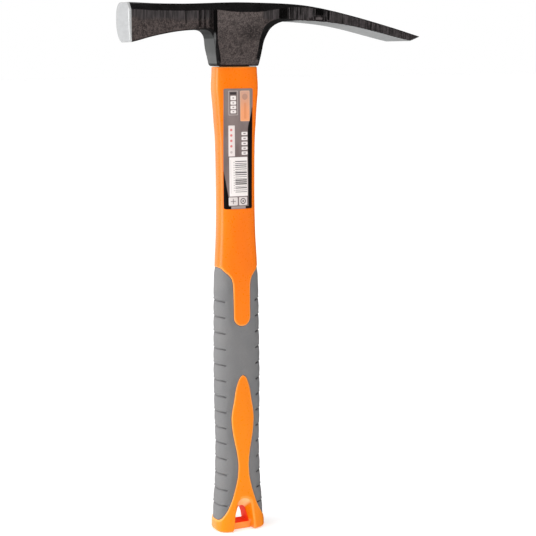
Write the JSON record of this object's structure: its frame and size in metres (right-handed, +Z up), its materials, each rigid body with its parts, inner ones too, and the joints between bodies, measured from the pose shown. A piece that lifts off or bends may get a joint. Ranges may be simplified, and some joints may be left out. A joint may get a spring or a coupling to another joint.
{
  "type": "brick hammer",
  "caption": "Brick hammer with a square-bodied striking poll, a long sloping chisel blade and a two-material moulded handle with a hanging hole.",
  "frame": {"origin": "centre of the flat end of the butt, on the handle's axis", "axes": "+Z up the handle to the head, +X from the handle's axis towards the chisel edge with the striking face at -X, -Y the front of the handle where the label is"},
  "size_m": [0.202, 0.031, 0.3416],
  "materials": {
    "black_forged_steel": "black lacquered forging, ground bright at the striking face and under the blade",
    "orange_plastic": "smooth moulded, satin gloss",
    "grey_rubber": "matt, fine moulded texture",
    "label_film": "thin printed film",
    "glass_fibre": "pultruded rod",
    "epoxy": "cast"
  },
  "bodies": {
    "root": {"head": "black_forged_steel", "handle_jacket": "orange_plastic", "grip_overmould": "grey_rubber", "label": "label_film", "fibre_core": "glass_fibre", "eye_resin": "epoxy"}
  },
  "joints": []
}
